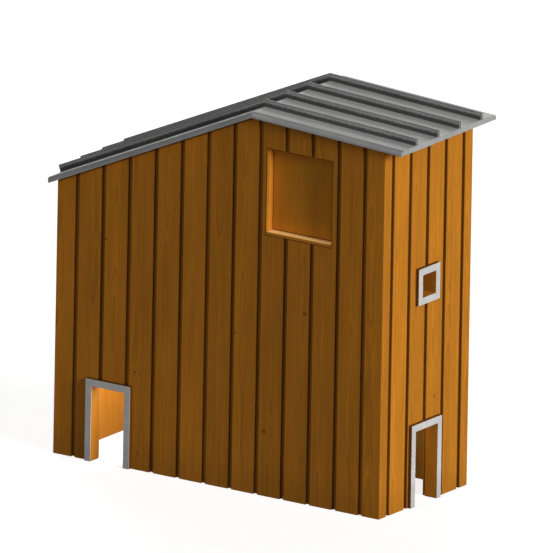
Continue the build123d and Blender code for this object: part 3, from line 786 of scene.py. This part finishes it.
class COOP_OT_hatch(bpy.types.Operator):
    """Hatch panel, its packers, hinges, screws and turn button"""

    bl_idname = "coop.hatch"
    bl_label = "Hatch"

    leaf_thick = 2 * MM
    hinge_half = 40 * MM             # half a hinge's height
    rows = (-0.68, 0.0, 0.68)        # heights of its screws, as shares of that
    outer, inner = 0.62, 0.33        # where they stand from a leaf's edge to the pin

    def execute(self, context):
        wood = settings().wood
        metal = settings().metal
        screws = settings().screws
        # painted light: the panel takes lighter wood than the boards, against the shade of its
        # recess
        panel = timber("hatch_wood", wood, X, Y, Z, seed=31.0, contrast=0.4, light=wood.panel,
                       late=wood.light, plain=True,
                       holes=[hatch_hole(high("hatch_sill", Z), WALL_IN)])
        batten = timber("packer_wood", wood, X, Y, Z, seed=37.0, light=wood.inner, plain=True)
        plated = zinc("hinge_zinc", metal.zinc, 0.34)
        work("hatch_panel", panel, wood.arris)
        work("hatch_packers", batten, wood.arris)
        work("turn_button", batten, wood.arris)
        for node in ("hinge_wall_leaves", "hinge_panel_leaves", "turn_button_bolt"):
            work(node, plated)

        barrel_radius = (high("hinge_wall_leaves", Y) - low("hinge_wall_leaves", Y)) / 2
        hinge_x = high("hinge_wall_leaves", X) - barrel_radius
        leaf_face = high("hatch_packers", Y) + self.leaf_thick
        centres = [low("hinge_wall_leaves", Z) + self.hinge_half,
                   high("hinge_wall_leaves", Z) - self.hinge_half]
        sides = (("hinge_wall_leaves", -1.0, "house", "hinge_wall_screws"),
                 ("hinge_panel_leaves", 1.0, "hatch", "hinge_panel_screws"))
        for node, side, body, name in sides:
            bm = bmesh.new()
            edge = low(node, X) if side < 0 else high(node, X)
            for centre in centres:
                for i, up in enumerate(self.rows):
                    x = edge + (hinge_x - edge) * (self.inner if i % 2 else self.outer)
                    z = centre + up * self.hinge_half
                    screw(bm, (x, leaf_face, z), (0, 1, 0), screws.small)
            new_piece(name, bm, body, plated)

        bm = bmesh.new()
        for lowest, highest in solids("hatch_packers"):
            x = (lowest.x + highest.x) / 2
            for z in (lowest.z + screws.inset, highest.z - screws.inset):
                screw(bm, (x, highest.y, z), (0, 1, 0), screws.large)
        new_piece("packer_screws", bm, "house", plated)
        return {"FINISHED"}


class COOP_OT_roof(bpy.types.Operator):
    """Ribbed steel sheets, their end trims and plugs, on a plywood deck"""

    bl_idname = "coop.roof"
    bl_label = "Roof"

    def execute(self, context):
        wood = settings().wood
        metal = settings().metal
        steel = roof_steel("roof_coat", metal, metal.roof, ribbed=True)
        for node in ("roof_sheet_left", "roof_sheet_right"):
            work(node, steel)
        dress("eave_trims", roof_steel("trim_coat", metal, metal.roof))
        dress("rib_end_plugs", roof_steel("plug_coat", metal, metal.plug))
        dress("roof_decks", plywood("roof_deck_ply", wood, Y, Z, X, 2.0))
        dress("roof_battens", timber("batten_wood", wood, X, Z, Y, seed=43.0, light=wood.inner))
        return {"FINISHED"}


class COOP_OT_inside(bpy.types.Operator):
    """Stud frame, lining, sliding doors, loft, nests, perches and ramp"""

    bl_idname = "coop.inside"
    bl_label = "Inside"

    def execute(self, context):
        wood = settings().wood
        upright = timber("stud_wood", wood, X, Y, Z, seed=51.0, light=wood.inner)
        level = timber("plate_wood", wood, Y, Z, X, seed=53.0, light=wood.inner)
        cross = timber("perch_wood", wood, X, Z, Y, seed=59.0, light=wood.inner)
        rails = timber("rail_wood", wood, X, Y, Z, seed=61.0, light=wood.inner, plain=True)
        for node in ("long_wall_studs", "end_wall_studs"):
            dress(node, upright)
        for node in ("sole_plates", "top_plates", "opening_headers"):
            dress(node, level)
        for node in ("loft_bearers", "ramp"):
            work(node, level, wood.arris)
        for node in ("perches", "perch_cleats"):
            work(node, cross, wood.arris)
        work("slide_rails", rails, BOARD_EASE)
        across_y = plywood("long_lining_ply", wood, X, Y, Z, 0.3)
        across_x = plywood("end_lining_ply", wood, Y, X, Z, 0.7)
        flat = plywood("loft_ply", wood, Y, Z, X, 0.1)
        dress("front_lining", across_y)
        dress("back_lining", plywood("back_lining_ply", wood, X, Y, Z, 0.3, light=wood.back))
        for node in ("left_lining", "right_lining"):
            dress(node, across_x)
        for node in ("front_door", "nest_box"):
            work(node, across_y, BOARD_EASE)
        for node in ("right_door", "vent_shutter"):
            work(node, across_x, BOARD_EASE)
        work("loft_deck", flat, BOARD_EASE)
        self.screws()
        return {"FINISHED"}

    def screws(self):
        """Screws along the door rails and through the perch cleats."""
        sizes = settings().screws
        plated = zinc("screw_zinc", settings().metal.zinc, 0.38)
        bm = bmesh.new()
        middle = Vector(((LEFT + RIGHT) / 2, (FRONT + BACK) / 2, 0.0))
        for node in ("slide_rails", "perch_cleats"):
            for lowest, highest in solids(node):
                centre = (lowest + highest) / 2
                thin = X if highest.x - lowest.x < highest.y - lowest.y else Y
                if node == "perch_cleats":
                    thin = Y
                faces_up = middle[thin] > centre[thin]
                way = Vector((0.0, 0.0, 0.0))
                way[thin] = 1.0 if faces_up else -1.0
                across = Y if thin == X else X
                run = Z if highest.z - lowest.z > highest[across] - lowest[across] else across
                for along in spaced(lowest[run], highest[run], sizes.inset, sizes.spacing):
                    place = centre.copy()
                    place[thin] = highest[thin] if faces_up else lowest[thin]
                    place[run] = along
                    screw(bm, place, way, sizes.large)
        new_piece("timber_screws", bm, "house", plated)


class COOP_OT_stage(bpy.types.Operator):
    """Pale floor, soft lights and the camera"""

    bl_idname = "coop.stage"
    bl_label = "Stage"

    half_floor = 60.0
    # each sun: where it stands, and the angle that it fills, in degrees
    key_sun = ((0.90, -0.135, 0.325), 24.0)
    front_sun = ((0.25, -0.90, 0.36), 60.0)
    back_sun = ((-0.60, 0.72, 0.35), 40.0)
    # each lamp inside: its place, what it points at, and its width
    on_left = ((-0.45, -0.12, 0.62), (-1.20, 0.05, 0.25), 0.4)
    on_back = ((0.90, -0.30, 0.75), (0.90, 0.43, 0.75), 0.6)
    # the narrow lamps in the hatch's hole: width, depth behind the face, and gap to its sides
    beam_wide, beam_deep, beam_gap = 0.05, 0.028, 5 * MM
    beam_spread = math.radians(6.0)

    def execute(self, context):
        stage = settings().stage
        scene = context.scene
        scene.view_settings.view_transform = "Standard"
        self.floor(stage)
        self.lights(stage)
        self.camera(stage)
        return {"FINISHED"}

    def floor(self, stage):
        bm = bmesh.new()
        bmesh.ops.create_grid(bm, x_segments=1, y_segments=1, size=self.half_floor)
        mesh = bpy.data.meshes.new("floor")
        bm.to_mesh(mesh)
        bm.free()
        s = Shader("floor_paint")
        place = s.place()
        cloud = s.noise(s.combine(place[X], place[Y], 0.0), 1.4, 3.0)["Fac"]
        tone = s.dim(rgba(stage.floor), s.spread(cloud, 0.2, 0.8, 0.985, 1.0))
        s.feed(s.surface.inputs["Emission Color"], (1.0, 1.0, 1.0, 1.0))
        s.feed(s.surface.inputs["Emission Strength"], stage.floor_glow)
        mesh.materials.append(s.finish(tone, 0.9))
        floor = bpy.data.objects.new("floor", mesh)
        bpy.context.scene.collection.objects.link(floor)
        floor.visible_diffuse = False
        floor.visible_glossy = False

    def lights(self, stage):
        world = bpy.data.worlds.new("surround")
        world.use_nodes = True
        background = world.node_tree.nodes["Background"]
        background.inputs["Color"].default_value = (1.0, 1.0, 1.0, 1.0)
        background.inputs["Strength"].default_value = stage.around
        bpy.context.scene.world = world
        self.sun("key", stage.key, *self.key_sun)
        self.sun("front", stage.front, *self.front_sun)
        self.sun("back", stage.back, *self.back_sun)
        self.lamp("left_lamp", stage.left_lamp, *self.on_left)
        self.lamp("back_lamp", stage.back_lamp, *self.on_back)
        lowest, highest = hatch_hole(high("hatch_sill", Z), FRONT + self.beam_deep)
        middle = (lowest + highest) / 2
        hole = highest - lowest
        right = Vector((highest.x - self.beam_gap, middle.y, middle.z))
        top = Vector((middle.x, middle.y, highest.z - self.beam_gap))
        self.beam("reveal_lamp", stage.reveal_lamp, right, (-1.0, 0.0, 0.0), self.beam_wide,
                  hole.z - 2 * self.beam_gap)
        self.beam("sill_lamp", stage.sill_lamp, top, (0.0, 0.0, -1.0),
                  hole.x - 2 * self.beam_gap, self.beam_wide)

    def add_light(self, name, kind):
        data = bpy.data.lights.new(name, kind)
        light = bpy.data.objects.new(name, data)
        bpy.context.scene.collection.objects.link(light)
        return light

    def sun(self, name, strength, towards, softness):
        """Even light from one side; softness is the angle that it fills."""
        light = self.add_light(name, "SUN")
        light.data.energy = strength
        light.data.angle = math.radians(softness)
        light.rotation_euler = Vector(towards).to_track_quat("Z", "Y").to_euler()

    def lamp(self, name, power, place, aim, wide):
        """Square lamp inside, which the camera doesn't see."""
        light = self.add_light(name, "AREA")
        light.data.energy = power
        light.data.size = wide
        light.location = place
        away = Vector(place) - Vector(aim)
        light.rotation_euler = away.to_track_quat("Z", "Y").to_euler()
        light.visible_camera = False
        return light

    def beam(self, name, power, place, way, wide, tall):
        """Narrow lamp across the hatch's hole, which lights only what it faces."""
        light = self.lamp(name, power, place, place + Vector(way), wide)
        light.data.shape = "RECTANGLE"
        light.data.size_y = tall
        light.data.spread = self.beam_spread

    def camera(self, stage):
        turn, lift, lean = stage.azimuth, stage.elevation, stage.roll
        back = Vector((math.sin(turn) * math.cos(lift), -math.cos(turn) * math.cos(lift),
                       math.sin(lift)))
        side = Vector((math.cos(turn), math.sin(turn), 0.0))
        up = back.cross(side)
        right = side * math.cos(lean) + up * math.sin(lean)
        up = up * math.cos(lean) - side * math.sin(lean)
        axes = Matrix((right, up, back)).transposed().to_4x4()
        data = bpy.data.cameras.new("camera")
        data.type = "ORTHO"
        data.ortho_scale = stage.width
        data.clip_end = 200.0
        camera = bpy.data.objects.new("camera", data)
        camera.matrix_world = Matrix.Translation(Vector(stage.aim) + back * stage.distance) @ axes
        bpy.context.scene.collection.objects.link(camera)
        bpy.context.scene.camera = camera


class COOP_PG_settings(bpy.types.PropertyGroup):
    """Everything that can be changed."""

    wood: PointerProperty(type=COOP_PG_wood)
    metal: PointerProperty(type=COOP_PG_metal)
    screws: PointerProperty(type=COOP_PG_screws)
    stage: PointerProperty(type=COOP_PG_stage)


STEPS = (COOP_OT_boards, COOP_OT_openings, COOP_OT_hatch, COOP_OT_roof, COOP_OT_inside,
         COOP_OT_stage)


class COOP_PT_panel(bpy.types.Panel):
    """Lists the coop's steps in the sidebar"""

    bl_idname = "COOP_PT_panel"
    bl_label = "Chicken coop"
    bl_space_type = "VIEW_3D"
    bl_region_type = "UI"
    bl_category = "Coop"

    def draw(self, context):
        for step in STEPS:
            self.layout.operator(step.bl_idname)


CLASSES = (COOP_PG_wood, COOP_PG_metal, COOP_PG_screws, COOP_PG_stage, COOP_PG_settings,
           *STEPS, COOP_PT_panel)


def register():
    for each in CLASSES:
        bpy.utils.register_class(each)
    bpy.types.Scene.coop = PointerProperty(type=COOP_PG_settings)


def unregister():
    del bpy.types.Scene.coop
    for each in reversed(CLASSES):
        bpy.utils.unregister_class(each)


def main():
    register()
    for step in STEPS:
        group, name = step.bl_idname.split(".")
        getattr(getattr(bpy.ops, group), name)()


if __name__ == "__main__":
    main()
